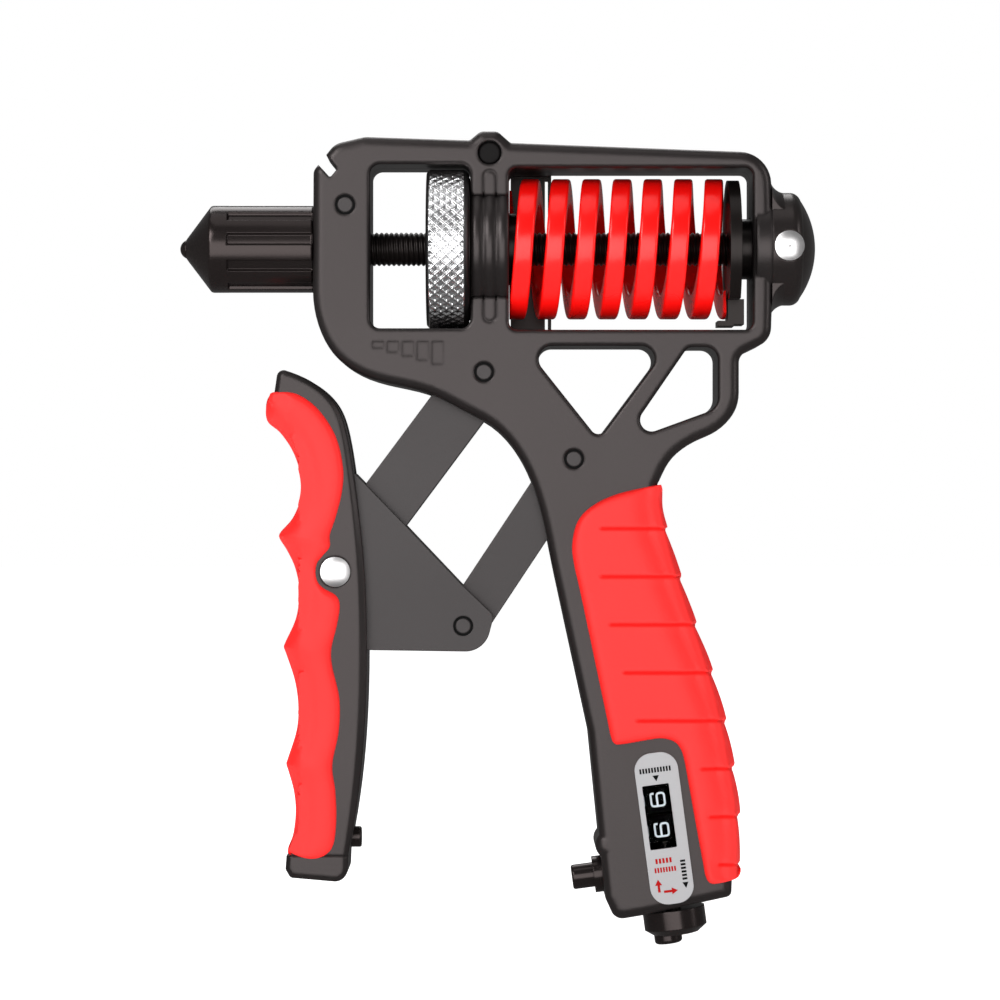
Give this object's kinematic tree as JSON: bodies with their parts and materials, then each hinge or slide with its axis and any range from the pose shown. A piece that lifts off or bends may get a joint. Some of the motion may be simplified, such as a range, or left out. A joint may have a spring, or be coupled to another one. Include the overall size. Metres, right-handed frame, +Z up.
{
  "type": "hand gripper",
  "caption": "R-shaped hand exerciser: a finger handle on two links pulls a screw rod that squeezes a coil spring; wheel, cone knob, press counter and reset knob.",
  "frame": {"origin": "middle of the whole object's bounding box", "axes": "+X towards the palm handle and end cap, +Z up along the handles' height, -Y out of the face that carries the counter"},
  "size_m": [0.1286, 0.0322, 0.1637],
  "materials": {
    "frame_grey": "satin dark warm grey",
    "link_grey": "satin dark grey",
    "black_gloss": "gloss near-black",
    "black_metal": "black oxide",
    "grip_red": "soft matte red",
    "spring_red": "gloss red",
    "chrome_pin": "polished",
    "wheel_metal": "diamond knurl, bright",
    "label_grey": "satin silver grey",
    "lens_clear": "clear",
    "drum_black": "satin black with pale digits"
  },
  "bodies": {
    "frame": {"frame_front": "frame_grey", "frame_back": "frame_grey", "drum_housing": "frame_grey", "guide_bush": "black_metal", "left_bush": "black_metal", "end_cap": "black_gloss", "end_cap_pin": "chrome_pin", "rear_shield": "black_metal", "upper_pivot_pin": "link_grey", "lower_pivot_pin": "link_grey", "bush_pin": "link_grey", "top_plug": "black_metal", "frame_screws": "black_metal", "upper_spacers": "link_grey", "lower_spacers": "link_grey", "palm_grip": "grip_red", "counter_label": "label_grey", "counter_lens": "lens_clear", "plunger_collar": "black_metal", "main_spring": "spring_red"},
    "lever": {"upper_link": "link_grey"},
    "trailing_link": {"lower_link": "link_grey"},
    "finger_handle": {"handle_front": "frame_grey", "handle_back": "frame_grey", "coupler_plate_front": "link_grey", "coupler_plate_back": "link_grey", "coupler_pin": "link_grey", "handle_pin": "chrome_pin", "handle_screws": "black_metal", "striker": "frame_grey", "handle_foot": "black_gloss", "finger_grip": "grip_red"},
    "rod_carriage": {"thrust_collar": "black_metal"},
    "screw": {"lead_screw": "black_metal", "thumb_wheel": "wheel_metal", "cone_knob": "black_gloss", "cone_tip": "black_gloss"},
    "nut": {"spring_nut": "black_metal"},
    "units": {"units_drum": "drum_black"},
    "tens": {"tens_drum": "drum_black"},
    "reset": {"counter_axle": "chrome_pin", "reset_knob": "frame_grey"},
    "button": {"count_plunger": "frame_grey"}
  },
  "joints": [
    {"name": "squeeze", "type": "hinge", "parent": "frame", "child": "lever", "pos_m": [-0.0027, 0, 0.0334], "axis": [0, -1, 0], "range_deg": [0, 38], "stiffness_Nm_per_rad": 1.2, "springref_deg": -22.92},
    {"name": "handle_hinge", "type": "hinge", "parent": "lever", "child": "finger_handle", "pos_m": [-0.0325, 0, -0.0066], "axis": [0, -1, 0], "range_deg": [-30, 0]},
    {"name": "trailing_hinge", "type": "hinge", "parent": "frame", "child": "trailing_link", "pos_m": [0.0153, 0, 0.016], "axis": [0, -1, 0], "range_deg": [0, 48]},
    {"name": "rod_pull", "type": "slide", "parent": "frame", "child": "rod_carriage", "axis": [-1, 0, 0], "range_m": [0, 0.0102], "deforming": ["main_spring"]},
    {"name": "wheel_spin", "type": "hinge", "parent": "rod_carriage", "child": "screw", "pos_m": [0, 0, 0.0586], "axis": [1, 0, 0], "range_deg": [0, 1800]},
    {"name": "nut_travel", "type": "slide", "parent": "rod_carriage", "child": "nut", "axis": [-1, 0, 0], "range_m": [0, 0.0054]},
    {"name": "units_turn", "type": "hinge", "parent": "frame", "child": "units", "pos_m": [0.0333, -0.0016, -0.0578], "axis": [-0.1323, 0, 0.9912], "continuous": true},
    {"name": "tens_turn", "type": "hinge", "parent": "frame", "child": "tens", "pos_m": [0.0333, -0.0016, -0.0578], "axis": [-0.1323, 0, 0.9912], "continuous": true},
    {"name": "reset_turn", "type": "hinge", "parent": "frame", "child": "reset", "pos_m": [0.0333, -0.0016, -0.0578], "axis": [-0.1323, 0, 0.9912], "continuous": true},
    {"name": "count_push", "type": "slide", "parent": "frame", "child": "button", "axis": [0.9912, 0, 0.1323], "range_m": [0, 0.003], "stiffness_N_per_m": 400, "springref_m": -0.002}
  ],
  "couplings": [
    {"joint": "handle_hinge", "follows": "squeeze", "ratio": -0.776},
    {"joint": "trailing_hinge", "follows": "squeeze", "ratio": 1.256},
    {"joint": "rod_pull", "follows": "squeeze", "m_per_rad": 0.015198},
    {"joint": "nut_travel", "follows": "wheel_spin", "m_per_rad": 0.0001687},
    {"joint": "tens_turn", "follows": "units_turn", "ratio": 0.1}
  ]
}
